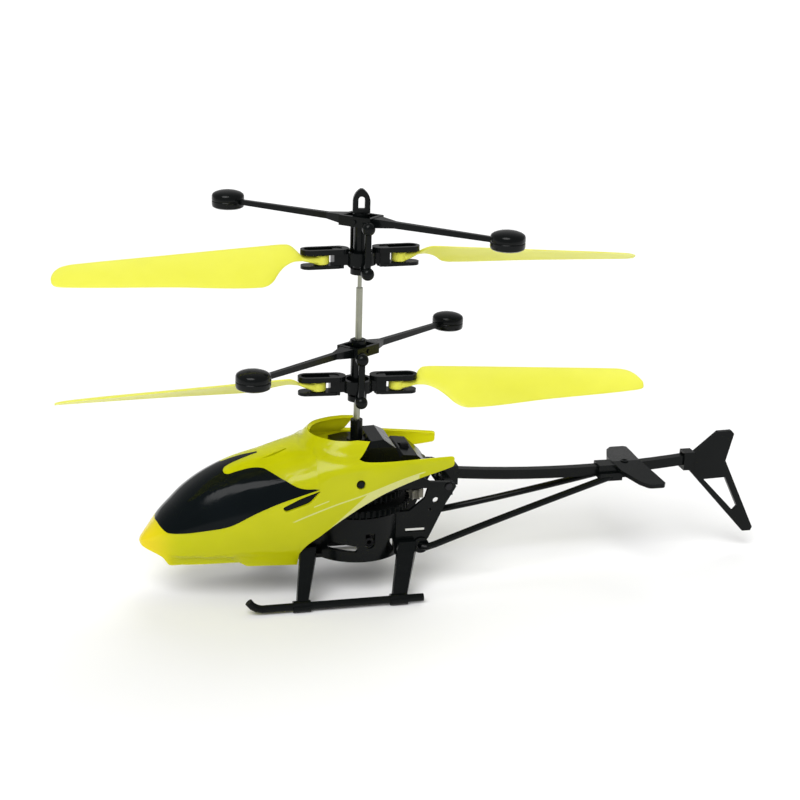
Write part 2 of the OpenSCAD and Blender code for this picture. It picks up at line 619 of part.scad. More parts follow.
module hub(bore, top, turn) {
    difference() {
        union() {
            translate([0, 0, -3.9]) cylinder(r = post_r, h = top + 3.9);
            translate([0, 0, -3.9]) cylinder(r = 2.3, h = 1.3);
            translate([0, 0, top - 1.4]) cylinder(r = 2, h = 1.2);
            // pivot pins of the blade carrier and of the flybar
            rotate([0, 90, 0]) translate([0, 0, -3.8]) cylinder(r = pivot_r, h = 7.6);
            translate([0, 0, flybar_lift]) rotate([0, 0, turn - 90])
                rotate([0, 90, 0]) translate([0, 0, -3.4]) cylinder(r = pivot_r, h = 6.8);
        }
        translate([0, 0, -6]) cylinder(r = bore, h = 30);
    }
}
module stadium(x0, x1, r, h) {
    translate([x0, 0, 0]) cylinder(r = r, h = h);
    translate([x1, 0, 0]) cylinder(r = r, h = h);
    translate([x0, -r, 0]) cube([x1 - x0, 2 * r, h]);
}
// Two grips on one ring: each has a dished plate above and a bar below the
// blade's root, and the ring feathers on the hub's pins
module carrier() difference() {
    union() {
        translate([0, 0, -1.5]) cylinder(r = 3.7, h = 3);
        translate([-6.6, -1.5, -1.4]) cube([13.2, 3, 2.8]);
        for (side = [0, 180]) rotate([0, 0, side]) {
            translate([0, 0, 1.3]) difference() {
                stadium(5.2, grip_end, 2.3, 1.2);
                translate([0, 0, 0.6]) stadium(6, grip_end, 1.5, 1);
            }
            translate([0, 0, -2.1]) stadium(6, grip_end + 0.3, 1.9, 0.8);
            translate([4.4, -1.7, -2.1]) cube([2.4, 3.4, 4.4]);
            // stud and ball of the link rod
            rotate([90, 0, 0]) translate([0, link_low, 3]) cylinder(r = 0.4, h = link_r - 3);
            translate([0, -link_r, link_low]) sphere(r = ball_r);
            translate([-0.9, -3.6, link_low - 0.4]) cube([1.8, 1.2, 1.8]);
        }
    }
    translate([0, 0, -5]) cylinder(r = 2.75, h = 10);
    rotate([0, 90, 0]) translate([0, 0, -4.2]) cylinder(r = pivot_r + run_gap, h = 8.4);
    for (side = [-1, 1]) translate([side * grip_pin_x, 0, -3]) cylinder(r = 0.7, h = 4.8);
}
module flybar(turn, tilt) difference() {
    union() {
        rotate([0, 0, turn]) rotate([0, tilt, 0]) {
            translate([-4.25, -3.1, -1.2]) cube([8.5, 6.2, 2.4]);
            for (side = [0, 180]) rotate([0, 0, side]) {
                hull() {
                    translate([4.1, -2, -1.1]) cube([0.2, 4, 2.2]);
                    translate([9, -0.7, -0.75]) cube([0.2, 1.4, 1.5]);
                }
                hull() {
                    translate([9, -0.7, -0.75]) cube([0.2, 1.4, 1.5]);
                    translate([flybar_r - 3.9, -0.55, -0.6]) cube([0.2, 1.1, 1.2]);
                }
            }
        }
        for (side = [0, 180]) rotate([0, 0, side]) {
            translate([0, -link_r, link_top - flybar_lift]) sphere(r = ball_r);
            rotate([90, 0, 0]) translate([0, link_top - flybar_lift, 3.6])
                cylinder(r = 0.4, h = link_r - 3.6);
            translate([-0.8, -4.4, link_top - flybar_lift - 0.4]) cube([1.6, 1.4, 1.4]);
        }
    }
    rotate([0, 0, turn]) {
        translate([-3.4, -2.35, -3]) cube([6.8, 4.7, 6]);
        rotate([90, 0, 0]) translate([0, 0, -5]) cylinder(r = pivot_r + run_gap, h = 10);
    }
}
weight_r = 3.8;
module weight() rotate_extrude() polygon([[0, -2.1], [1, -2.1], [1.2, -1.7], [3.2, -1.7],
    [weight_r, -1.3], [weight_r, 1.2], [3.5, 1.6], [2.2, 2.1], [0.7, 2.3], [0, 2.3]]);
module weights(turn, tilt) translate([0, 0, flybar_lift])
    rotate([0, 0, turn]) rotate([0, tilt, 0]) for (side = [0, 180]) rotate([0, 0, side]) difference() {
        translate([flybar_r, 0, 0]) weight();
        translate([flybar_r - 4.2, -0.56, -0.61]) cube([0.51, 1.12, 1.22]);
    }
// Each eye of a link is a cup that is closed on the side away from the mast
module link() difference() {
    union() {
        for (z = [link_low, link_top]) translate([0, -link_r + 0.6, z])
            rotate([90, 0, 0]) cylinder(r = eye_out, h = eye_t);
        translate([-0.7, -link_r - 0.6, link_low + 1.2]) cube([1.4, 1.2, link_top - link_low - 2.4]);
    }
    for (z = [link_low, link_top]) translate([0, -link_r + 2, z])
        rotate([90, 0, 0]) cylinder(r = eye_in, h = 3.2);
}
// Blade outline: distance from the mast, leading edge and trailing edge
blade_lead = [[14.2, 1.1], [14.7, 2], [15.4, 3.5], [16.6, 4.4], [19, 4.6], [46, 4.4],
    [66, 4.1], [68.4, 3.6], [70.2, 2.1], [71.5, -0.8]];
blade_trail = [[14.2, -1.1], [16.6, -1.9], [18.8, -3.2], [20.8, -5.2], [22.6, -8],
    [24.3, -9.4], [25.8, -9.8], [46, -7.4], [68.4, -4.6], [70.4, -4.2], [71.5, -2.8]];
blade_stations = [14.2, 14.7, 15.4, 16.6, 18.8, 20.8, 22.6, 24.3, 25.8, 32, 39, 46, 54, 61, 66,
    68.4, 70.2, 71.5];
blade_t = 0.9;
function blade_scale(r) = 14.2 + (r - 14.2) * (rotor_r - 14.2) / (71.5 - 14.2);
function blade_pitch(r) = root_pitch + (tip_pitch - root_pitch) * (r - 14.2) / 57.3;
function blade_section(r) =
    let (a = lookup(r, blade_lead), b = lookup(r, blade_trail), p = blade_pitch(r),
         t = blade_t * (r > 66 ? 0.7 : 1), camber = 0.05 * (a - b))
    [for (q = [[0, 0, 0.15], [0.25, 0.8, 0.45], [0.55, 0.9, 0.4], [1, 0, 0.15],
               [1, 0, -0.15], [0.55, 0.9, -0.4], [0.25, 0.8, -0.45], [0, 0, -0.15]])
        let (y = a + (b - a) * q[0],
             z = camber * q[1] + t * q[2])
        [blade_scale(r), y * cos(p) - z * sin(p), y * sin(p) + z * cos(p)
            + lookup(r, [[14.2, 0.4], [17, blade_rise]])]];
module blade_sheet() {
    n = 8;
    m = len(blade_stations);
    points = [for (r = blade_stations) each blade_section(r)];
    faces = concat(
        [[for (k = [0 : n - 1]) k]],
        [for (i = [0 : m - 2]) for (k = [0 : n - 1])
            let (a = i * n + k, b = i * n + (k + 1) % n) each [[a, a + n, b + n], [a, b + n, b]]],
        [[for (k = [n - 1 : -1 : 0]) (m - 1) * n + k]]);
    polyhedron(points, faces, convexity = 4);
}
lug_low = -1.15;
lug_top = 1.1;
// The sheet droops from its root, so its inner end stays at the lug
module drooped(droop) {
    translate([14.2, 0, 0]) rotate([0, droop, 0]) translate([-14.2, 0, 0]) children();
}
module blade(droop) {
    difference() {
        union() {
            drooped(droop) blade_sheet();
            hull() {
                translate([grip_pin_x + 1.2, -1.2, lug_low + 0.2]) cube([0.2, 2.4, 1.8]);
                drooped(droop) translate([0, 0, 0.4]) rotate([root_pitch, 0, 0])
                    translate([14.3, -1.1, -0.4]) cube([0.3, 2.2, 0.8]);
            }
        }
        translate([grip_pin_x, 0, -4]) cylinder(r = 1.9, h = 8);
    }
    translate([grip_pin_x, 0, lug_low]) cylinder(r = 1.9, h = lug_top - lug_low);
    // moulded pin through the bar below and into the plate above
    translate([grip_pin_x, 0, -2.4]) cylinder(r = 0.62, h = 4.1);
}

module outer_tube() color(steel) place()
    translate([0, 0, outer_gear_z - 0.6]) ring(tube_r, shaft_r + run_gap, tube_top - outer_gear_z + 0.6);
module inner_shaft() color(steel) place()
    translate([0, 0, shaft_bottom]) cylinder(r = shaft_r, h = upper_rotor_z + shaft_end - shaft_bottom);
module shaft_collar() color(black) place()
    translate([0, 0, shaft_bottom + 0.2]) ring(1.3, shaft_r + seat_gap, 1.5);
module lower_hub() color(black) lower_place() hub(tube_r + seat_gap, 11.4, lower_flybar_turn);
module upper_hub() color(black) upper_place() hub(shaft_r + seat_gap, shaft_end, upper_flybar_turn);
loop_w = 4.1;
module head_loop() color(black) upper_place() rotate([0, 0, 12]) translate([0, 0, shaft_end + 0.02])
    rotate([90, 0, 0]) translate([0, 0, -0.7]) difference() {
        union() {
            linear_extrude(1.4) difference() {
                union() {
                    translate([-loop_w / 2, 0]) square([loop_w, 2.6]);
                    intersection() {
                        translate([-1.4, 2.6]) circle(r = loop_w / 2 + 1.4, $fn = 64);
                        translate([1.4, 2.6]) circle(r = loop_w / 2 + 1.4, $fn = 64);
                        translate([-3, 2.59]) square([6, 4]);
                    }
                }
                translate([0, 3.1]) circle(r = 0.75);
                translate([-0.75, 1]) square([1.5, 2.1]);
            }
        }
        translate([-3, 5.6, -1]) cube([6, 3, 4]);
    }
module lower_carrier() color(black) lower_place() carrier();
module upper_carrier() color(black) upper_place() carrier();
module lower_flybar() color(black) lower_place()
    translate([0, 0, flybar_lift]) flybar(lower_flybar_turn, lower_flybar_tilt);
module upper_flybar() color(black) upper_place()
    translate([0, 0, flybar_lift]) flybar(upper_flybar_turn, 0);
module lower_weights() color(black) lower_place() weights(lower_flybar_turn, lower_flybar_tilt);
module upper_weights() color(black) upper_place() weights(upper_flybar_turn, 0);
module lower_link_port() color(black) lower_place() link();
module lower_link_starboard() color(black) lower_place() rotate([0, 0, 180]) link();
module upper_link_port() color(black) upper_place() rotate([0, 0, 180]) link();
module upper_link_starboard() color(black) upper_place() link();
module lower_blade_front() color(blade_yellow) lower_place() rotate([0, 0, 180]) blade(blade_droop[0]);
module lower_blade_rear() color(blade_yellow) lower_place() blade(blade_droop[1]);
module upper_blade_front() color(blade_yellow) upper_place() rotate([0, 0, 180]) blade(blade_droop[2]);
module upper_blade_rear() color(blade_yellow) upper_place() blade(blade_droop[3]);

canopy();
windscreen();
canopy_pegs();
frame_left();
frame_right();
frame_screws();
upper_deck();
mast_collar();
bearing_bridge();
lower_bearing();
battery_tray();
battery();
circuit_board();
infrared_receiver();
induction_sensor();
charge_socket();
power_switch();
front_motor();
front_motor_mount();
rear_motor();
front_pinion();
rear_pinion();
tail_mount();
tail_boom();
tail_strut_left();
tail_strut_right();
stabilizer();
tail_fin();
skid_left();
skid_right();
front_leg_left();
front_leg_right();
rear_leg_left();
rear_leg_right();
outer_tube();
outer_gear();
lower_hub();
lower_carrier();
lower_flybar();
lower_weights();
lower_link_port();
lower_link_starboard();
lower_blade_front();
lower_blade_rear();
inner_shaft();
shaft_collar();
inner_gear();
upper_hub();
head_loop();
upper_carrier();
upper_flybar();
upper_weights();
upper_link_port();
upper_link_starboard();
upper_blade_front();
upper_blade_rear();
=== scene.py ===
"""Toy helicopter with two coaxial rotors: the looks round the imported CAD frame.

All lengths are in metres, in the CAD frame: nose to -X, port side to -Y, skids on z = 0.
Shapes are drawn in millimetres with the mast as the Z axis and then moved by in_frame().
"""
import json
import math
from bisect import bisect_right

import bpy
import bmesh
from mathutils import Matrix, Vector


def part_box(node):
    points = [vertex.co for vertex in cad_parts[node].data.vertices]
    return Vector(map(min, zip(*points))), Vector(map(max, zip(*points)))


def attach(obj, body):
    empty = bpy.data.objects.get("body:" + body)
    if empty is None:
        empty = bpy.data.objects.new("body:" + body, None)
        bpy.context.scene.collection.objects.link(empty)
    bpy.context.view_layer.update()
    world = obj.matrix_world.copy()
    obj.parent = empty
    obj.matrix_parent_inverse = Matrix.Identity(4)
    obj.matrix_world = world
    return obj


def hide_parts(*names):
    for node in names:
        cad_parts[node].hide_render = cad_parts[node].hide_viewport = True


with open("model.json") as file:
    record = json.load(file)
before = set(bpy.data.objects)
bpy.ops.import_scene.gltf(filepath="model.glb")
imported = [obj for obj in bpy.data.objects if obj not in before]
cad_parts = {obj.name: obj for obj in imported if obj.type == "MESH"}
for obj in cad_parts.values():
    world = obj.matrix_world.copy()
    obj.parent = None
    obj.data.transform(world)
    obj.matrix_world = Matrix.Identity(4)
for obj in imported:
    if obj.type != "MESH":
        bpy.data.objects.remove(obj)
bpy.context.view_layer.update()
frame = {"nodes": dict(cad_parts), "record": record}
nodes = frame["nodes"]
MM = 0.001

# The mast's place along X, from the inner shaft
shaft_low, shaft_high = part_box("inner_shaft")
MAST_X = (shaft_low.x + shaft_high.x) / 2


def in_frame(point):
    """A point in millimetres from the mast, in the CAD frame's metres."""
    return Vector((point[0] * MM + MAST_X, point[1] * MM, point[2] * MM))


# ---------------------------------------------------------------- node helpers


class Nodes:
    """Short calls for one material's node tree."""

    def __init__(self, name):
        self.material = bpy.data.materials.new(name)
        self.material.use_nodes = True
        self.tree = self.material.node_tree
        self.shader = self.tree.nodes["Principled BSDF"]
        self.place = self.tree.nodes.new("ShaderNodeTexCoord").outputs["Object"]

    def set(self, **values):
        for key, value in values.items():
            self.shader.inputs[key.replace("_", " ")].default_value = value

    def link(self, source, target):
        self.tree.links.new(source, target)

    def noise(self, scale, detail=4.0, roughness=0.6, stretch=None):
        node = self.tree.nodes.new("ShaderNodeTexNoise")
        node.inputs["Scale"].default_value = scale
        node.inputs["Detail"].default_value = detail
        node.inputs["Roughness"].default_value = roughness
        place = self.place
        if stretch:
            mapping = self.tree.nodes.new("ShaderNodeMapping")
            mapping.inputs["Scale"].default_value = stretch
            self.link(place, mapping.inputs["Vector"])
            place = mapping.outputs["Vector"]
        self.link(place, node.inputs["Vector"])
        return node.outputs["Fac"]

    def ramp(self, source, stops):
        node = self.tree.nodes.new("ShaderNodeValToRGB")
        ramp = node.color_ramp
        while len(ramp.elements) < len(stops):
            ramp.elements.new(0.5)
        for element, (place, colour) in zip(ramp.elements, stops):
            element.position = place
            element.color = colour if len(colour) == 4 else (*colour, 1)
        self.link(source, node.inputs["Fac"])
        return node.outputs["Color"]

    def span(self, source, low, high, start=0.0, end=1.0):
        node = self.tree.nodes.new("ShaderNodeMapRange")
        for key, value in (("From Min", start), ("From Max", end), ("To Min", low), ("To Max", high)):
            node.inputs[key].default_value = value
        self.link(source, node.inputs["Value"])
        return node.outputs["Result"]

    def mix(self, factor, a, b):
        node = self.tree.nodes.new("ShaderNodeMix")
        node.data_type = "RGBA"
        for socket, value in ((node.inputs[0], factor), (node.inputs[6], a), (node.inputs[7], b)):
            if isinstance(value, bpy.types.NodeSocket):
                self.link(value, socket)
            elif isinstance(value, (int, float)):
                socket.default_value = value
            else:
                socket.default_value = (*value, 1)
        return node.outputs[2]

    def math(self, operation, a, b):
        node = self.tree.nodes.new("ShaderNodeMath")
        node.operation = operation
        for socket, value in zip(node.inputs, (a, b)):
            if isinstance(value, (int, float)):
                socket.default_value = value
            else:
                self.link(value, socket)
        return node.outputs[0]

    def within(self, source, low, high, blur):
        """1 where the source lies between two values, with soft ends."""
        rise = self.span(source, 0, 1, low - blur, low)
        fall = self.span(source, 1, 0, high, high + blur)
        return self.math("MULTIPLY", rise, fall)

    def attribute(self, name):
        node = self.tree.nodes.new("ShaderNodeAttribute")
        node.attribute_name = name
        return node.outputs["Fac"]

    def bumps(self, layers):
        """Stacks (height, strength, distance) layers onto the shader's normal."""
        normal = None
        for height, strength, distance in layers:
            node = self.tree.nodes.new("ShaderNodeBump")
            node.inputs["Strength"].default_value = strength
            node.inputs["Distance"].default_value = distance
            self.link(height, node.inputs["Height"])
            if normal:
                self.link(normal, node.inputs["Normal"])
            normal = node.outputs["Normal"]
        self.link(normal, self.shader.inputs["Normal"])


def moulded_plastic(name, dark, light, roughness, grain=0.00004, coat=0.0,
                    specular=0.13):
    """Black or coloured injection moulding: faint grain, soft flow marks, scuffs in the roughness."""
    n = Nodes(name)
    cloud = n.noise(90, 3)
    fine = n.noise(2600, 2)
    scuff = n.noise(500, 6, 0.75, stretch=(0.25, 1, 1))
    n.link(n.ramp(cloud, [(0.3, dark), (0.7, light)]), n.shader.inputs["Base Color"])
    n.link(n.span(scuff, roughness * 0.8, roughness * 1.3, 0.3, 0.7), n.shader.inputs["Roughness"])
    n.set(IOR=1.5, Coat_Weight=coat, Coat_Roughness=0.12, Specular_IOR_Level=specular)
    n.bumps([(fine, 0.25, grain), (cloud, 0.2, grain * 3)])
    return n.material


def stripe_mask(n):
    """1 on the thin pale line along the side and on the broad band it opens into."""
    above, along = n.attribute("above_stripe"), n.attribute("along")
    line = n.within(above, -0.14, 0.14, 0.05)
    started = n.within(along, -17, 14, 1.0)
    band = n.within(above, -9, 0.14, 0.05)
    lean = n.math("SUBTRACT", along, n.math("MULTIPLY", above, 1.6))
    opened = n.math("MULTIPLY", n.within(lean, 0.4, 60, 0.25), n.within(along, -9, 13, 0.3))
    dash = n.math("MULTIPLY", n.within(above, 1.58, 1.78, 0.05), n.within(along, -12.8, -9.3, 0.1))
    wear = n.span(n.noise(2600, 4, 0.7), 0.75, 1.0, 0.3, 0.5)
    mark = n.math("MAXIMUM", n.math("MULTIPLY", line, started), n.math("MULTIPLY", band, opened))
    return n.math("MULTIPLY", n.math("MAXIMUM", mark, dash), wear)


def canopy_plastic():
    """Glossy fluorescent yellow with painted warm light on the nose, painted light on the inner walls,
    and a pale printed stripe where the mesh says so.
    """
    n = Nodes("canopy_yellow")
    cloud = n.noise(45, 3)
    ripple = n.noise(160, 3, 0.5)
    fine = n.noise(2200, 2)
    dust = n.noise(900, 8, 0.8)
    paint = n.ramp(cloud, [(0.3, (0.46, 0.475, 0.002)), (0.72, (0.53, 0.535, 0.003))])
    # Painted warm light: the nose is mixed towards a brighter orange yellow, fading out along the nose.
    nose = n.mix(n.attribute("nose"), paint, (0.74, 0.58, 0.003))
    # Painted light: the inner walls of the hood and wings are mixed towards a bright yellow, standing
    # in for light through the shell.
    nose = n.mix(n.attribute("inner"), nose, (0.98, 0.94, 0.012))
    printed = n.mix(stripe_mask(n), nose, (0.62, 0.62, 0.22))
    n.link(printed, n.shader.inputs["Base Color"])
    n.link(n.span(dust, 0.12, 0.24, 0.35, 0.75), n.shader.inputs["Roughness"])
    n.set(IOR=1.5, Specular_IOR_Level=0.18, Coat_Weight=0.06, Coat_Roughness=0.05,
          Subsurface_Weight=0.35, Subsurface_Scale=0.003)
    n.shader.inputs["Subsurface Radius"].default_value = (1.0, 1.0, 0.15)
    n.bumps([(ripple, 0.12, 0.0002), (fine, 0.1, 0.00002)])
    return n.material


def smoked_gloss():
    """Smoked black windscreen: deep gloss with a faint orange-peel ripple."""
    n = Nodes("windscreen_smoke")
    cloud = n.noise(60, 3)
    ripple = n.noise(220, 3, 0.5)
    dust = n.noise(1200, 8, 0.8)
    n.link(n.ramp(cloud, [(0.3, (0.0014, 0.0030, 0.0038)), (0.75, (0.0028, 0.0048, 0.0060))]),
           n.shader.inputs["Base Color"])
    n.link(n.span(dust, 0.1, 0.2, 0.4, 0.8), n.shader.inputs["Roughness"])
    n.set(IOR=1.5, Specular_IOR_Level=0.1)
    n.bumps([(ripple, 0.1, 0.00015)])
    return n.material


def blade_plastic():
    """Flexible yellow blades that let a little light through."""
    n = Nodes("blade_yellow")
    cloud = n.noise(55, 3)
    flow = n.noise(120, 4, 0.6, stretch=(0.12, 1, 1))
    fine = n.noise(2600, 2)
    n.link(n.ramp(cloud, [(0.3, (0.70, 0.70, 0.065)), (0.72, (0.75, 0.75, 0.085))]),
           n.shader.inputs["Base Color"])
    n.link(n.span(flow, 0.3, 0.46, 0.3, 0.7), n.shader.inputs["Roughness"])
    n.set(IOR=1.5, Specular_IOR_Level=0.3, Subsurface_Weight=0.35, Subsurface_Scale=0.002)
    n.shader.inputs["Subsurface Radius"].default_value = (1.0, 1.0, 0.2)
    n.bumps([(flow, 0.2, 0.00012), (fine, 0.2, 0.00003)])
    return n.material


def metal(name, dark, light, roughness, stretch=(1, 1, 0.04)):
    """Drawn or turned metal with fine lines along its length."""
    n = Nodes(name)
    lines = n.noise(1500, 4, 0.7, stretch=stretch)
    cloud = n.noise(120, 3)
    n.link(n.ramp(cloud, [(0.3, dark), (0.7, light)]), n.shader.inputs["Base Color"])
    n.link(n.span(lines, roughness * 0.7, roughness * 1.4, 0.3, 0.7), n.shader.inputs["Roughness"])
    n.set(Metallic=1.0)
    n.bumps([(lines, 0.3, 0.00003)])
    return n.material


BLACK = (0.0018, 0.0026, 0.0026)
SOOT = (0.0034, 0.0044, 0.0044)
MATERIALS = {
    "canopy": canopy_plastic(),
    "windscreen": smoked_gloss(),
    "frame_plastic": moulded_plastic("frame_black", BLACK, SOOT, 0.22),
    "rotor_plastic": moulded_plastic("rotor_black", BLACK, SOOT, 0.2),
    "weights": moulded_plastic("weight_black", BLACK, SOOT, 0.16, coat=0.05),
    "blade_plastic": blade_plastic(),
    "gear_plastic": moulded_plastic("gear_black", BLACK, SOOT, 0.4, specular=0.08),
    "pinion_plastic": moulded_plastic("pinion_white", (0.52, 0.50, 0.43), (0.62, 0.6, 0.52), 0.35),
    "mast_steel": metal("mast_steel", (0.24, 0.245, 0.20), (0.34, 0.345, 0.28), 0.3),
    # The motor can's metal is darkened almost to black: painted shade for where it sits under the
    # canopy.
    "motor_can": metal("motor_can", (0.05, 0.05, 0.05), (0.09, 0.09, 0.09), 0.3),
    "screws": metal("screw_black", (0.015, 0.015, 0.016), (0.03, 0.03, 0.032), 0.35, (1, 1, 1)),
    "brass_bush": metal("brass_bush", (0.55, 0.38, 0.14), (0.65, 0.46, 0.2), 0.3),
    "battery_wrap": moulded_plastic("battery_wrap", (0.4, 0.42, 0.46), (0.5, 0.52, 0.56), 0.3),
    "circuit_board": moulded_plastic("board_green", (0.01, 0.09, 0.03), (0.02, 0.13, 0.04), 0.3),
    "electronics": moulded_plastic("component_black", BLACK, (0.012, 0.012, 0.014), 0.3),
    "switch_plastic": moulded_plastic("switch_black", BLACK, (0.012, 0.012, 0.014), 0.4),
}
SLOT_OF = {row["node"]: row["material_slot"] for row in frame["record"]["subparts"]}
SHARP = math.radians(35)


def soften(piece, width, segments=2):
    """Small rounded edges on a hard-edged piece, and smooth shading across them."""
    bevel = piece.modifiers.new("edges", "BEVEL")
    bevel.width = width
    bevel.segments = segments
    bevel.limit_method = "ANGLE"
    bevel.angle_limit = SHARP
    bevel.harden_normals = False
    smooth(piece)


def smooth(piece):
    """Smooth shading that breaks at sharp edges."""
    for face in piece.data.polygons:
        face.use_smooth = True
    piece.data.set_sharp_from_angle(angle=SHARP)


def piece_from(name, points, faces, body, slot, replaces=()):
    """A mesh piece in the CAD frame, riding on a body and wearing a slot's material."""
    mesh = bpy.data.meshes.new(name)
    mesh.from_pydata([in_frame(p) for p in points], [], faces)
    mesh.validate()
    piece = bpy.data.objects.new(name, mesh)
    bpy.context.scene.collection.objects.link(piece)
    piece.data.materials.append(MATERIALS[slot])
    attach(piece, body)
    if replaces:
        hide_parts(*replaces)
    return piece


# ---------------------------------------------------------------- CAD nodes kept as they are

EDGE_WIDTH = {"frame_plastic": 0.00014, "rotor_plastic": 0.00016, "gear_plastic": 0.00005,
              "blade_plastic": 0.0001, "weights": 0.0002}
for name, node in nodes.items():
    slot = SLOT_OF[name]
    node.data.materials.clear()
    node.data.materials.append(MATERIALS[slot])
    soften(node, EDGE_WIDTH.get(slot, 0.00008))

# ---------------------------------------------------------------- canopy and windscreen


def curve(table):
    """Smooth curve through [x, value] pairs that never overshoots between them."""
    xs, ys = [p[0] for p in table], [p[1] for p in table]
    steps = [(b[1] - a[1]) / (b[0] - a[0]) for a, b in zip(table, table[1:])]
    slopes = [steps[0]]
    for a, b in zip(steps, steps[1:]):
        slopes.append(0 if a * b <= 0 else 2 * a * b / (a + b))
    slopes.append(steps[-1])

    def value(x):
        if x <= xs[0]:
            return ys[0]
        if x >= xs[-1]:
            return ys[-1]
        k = bisect_right(xs, x) - 1
        w = xs[k + 1] - xs[k]
        t = (x - xs[k]) / w
        return (ys[k] * (1 + 2 * t) * (1 - t) ** 2 + slopes[k] * w * t * (1 - t) ** 2
                + ys[k + 1] * t * t * (3 - 2 * t) + slopes[k + 1] * w * t * t * (t - 1))
    return value


def ease(low, high, x):
    """0 below low, 1 above high, and a smooth step between."""
    t = min(1, max(0, (x - low) / (high - low)))
    return t * t * (3 - 2 * t)


# The body's curves along x, in millimetres from the mast
top_z = curve([[-52.8, 13.7], [-52.6, 14.1], [-50.5, 16.9], [-48, 20.2], [-45.5, 22.8],
               [-42.6, 25.6], [-39.5, 28], [-36.5, 29.9], [-33.4, 31.5], [-30.3, 32.8],
               [-27.3, 33.7], [-23.6, 34.6], [-18, 36.3], [-14.5, 37.4], [-12, 39.3],
               [-8, 41.4], [-4, 42.7], [2, 43.1], [24, 37]])
half_width = curve([[-52.8, 0.12], [-52.6, 1.1], [-52.2, 1.9], [-50.5, 3.9], [-48, 6.4],
                    [-45.5, 8.1], [-42.6, 9.3], [-36.5, 10.9], [-30.3, 12], [-23.6, 13],
                    [-15, 13.9], [-5, 14.1], [0, 13.8], [6, 13.1], [13.2, 11.6], [22.4, 9.5]])
waist_z = curve([[-52.8, 13.5], [-48, 15.4], [-40, 17], [-30, 19], [-20, 22],
                 [-10, 25], [0, 28], [10, 31], [22.4, 32.8]])
low_z = curve([[-52.8, 13.3], [-52.4, 12.8], [-48, 11.3], [-46, 9.1], [-29.6, 9.9], [-28, 9.1],
               [-16.25, 9.1], [-15.95, 12.5], [-10.9, 17.3], [-4.7, 22], [0, 24.8],
               [5.6, 27.4], [13.2, 29.6], [21.4, 31.3], [22.1, 31.5], [22.4, 32]])
screen_low_z = curve([[-49, 19.2], [-46.4, 17.8], [-43.6, 18.1], [-37.8, 19.1],
                      [-33, 20.1], [-26, 23.6], [-20, 26.2], [-11.6, 29]])
screen_top_y = curve([[-33, 3.6], [-32.85, 4.3], [-32.5, 4.8], [-31.9, 5.2], [-30.5, 5.4],
                      [-27, 5.8], [-24, 6.9], [-22.5, 8.4], [-19.6, 10.9], [-16, 12.7],
                      [-11.6, 13.55]])
prong_y = curve([[-33, 3.4], [-32.85, 2.7], [-32.5, 2.2], [-31.9, 1.9], [-28, 1.2],
                 [-24.4, 0.5], [-20, 0.4]])
wing_top_z = curve([[-11.6, 29.5], [-8, 32.4], [-4, 34.9], [-1.8, 35.6], [-0.8, 35.1],
                    [0.8, 34.85], [10, 34.5], [21, 34.1], [22, 34], [22.4, 33.6]])
shoulder_z = curve([[-46, 23], [-41.2, 25], [-36.4, 27.3], [-30.4, 28.9], [-24.7, 29.8],
                    [-19, 30.9], [-12.9, 32.4], [-8.2, 33.4], [0, 34], [22, 34]])
flank_z = curve([[-20, 28.8], [-11.8, 31.1], [-6, 32.5], [2, 33.2]])
BASE_Z = 8.4
ROUNDNESS = 2 / 2.2
SCREEN_START, PRONG_START, PRONG_END, SCREEN_END = -49, -33, -24.4, -11.6
HOOD_START, HOOD_CENTRE, HOOD_RIM = -12, -2.5, 9.5
NOTCH_X, TIP_REACH, WARP_START, WING_END = -1.8, 3.4, -8, 22.4
NOSE_X = -52.8
WALL = 0.9


def ridge(z, line, height, reach):
    """Height of a soft raised crease that runs along a line."""
    return height * math.exp(-abs(z - line) / reach)


def skirt_inset(x, z):
    """How far the keel strip and the skirt block stand back from the side."""
    step = ease(-31.8 + (12 - z) * 0.9, -31.2 + (12 - z) * 0.9, x)
    keel = (1 - ease(11.4, 12.3, z)) * ease(-47, -43, x) * (1 - step)
    block = 0.25 * (1 - ease(12.2, 12.9, z)) * step
    return 1.0 * keel + block


def section(x, v):
    """Half section of the body: v runs from -1 at the base, over 0 at the waist, to 1."""
    wide, waist = half_width(x), waist_z(x)
    if v < 0:
        z = waist + v * (waist - BASE_Z)
        return wide * (1 - 0.2 * v * v) - skirt_inset(x, z) * min(1, wide / 6), z
    rise = top_z(x) - waist
    c = max(0.0, math.cos(v * math.pi / 2))
    s = max(0.0, math.sin(v * math.pi / 2))
    y, z = wide * c ** ROUNDNESS, waist + rise * s ** ROUNDNESS
    ny, nz = c ** (2 - ROUNDNESS) / wide, s ** (2 - ROUNDNESS) / rise
    size = math.hypot(ny, nz)
    from_mast = math.hypot(min(0, x - HOOD_CENTRE), y)
    swell = ridge(z, shoulder_z(x), 0.5, 1.3) * ease(-46, -38, x) * (1 - ease(-4, 4, x))
    swell += ridge(z, flank_z(x), 0.3, 0.8) * ease(-17, -12, x) * (1 - ease(-3, 2, x))
    swell -= 0.75 * math.exp(-((from_mast - 11.7) / 1.1) ** 2) * ease(-17, -13, x) * ease(34.5, 36, z)
    return y + swell * ny / size, z + swell * nz / size


def v_at_z(x, z):
    """Where on the half section a height is met."""
    waist = waist_z(x)
    if z < waist:
        return (z - waist) / (waist - BASE_Z)
    return math.asin(min(1, (z - waist) / (top_z(x) - waist)) ** (1 / ROUNDNESS)) * 2 / math.pi


def v_at_y(x, y):
    """Where on the upper half section a distance from the middle is met."""
    return math.acos(min(1, max(0, y / half_width(x))) ** (1 / ROUNDNESS)) * 2 / math.pi


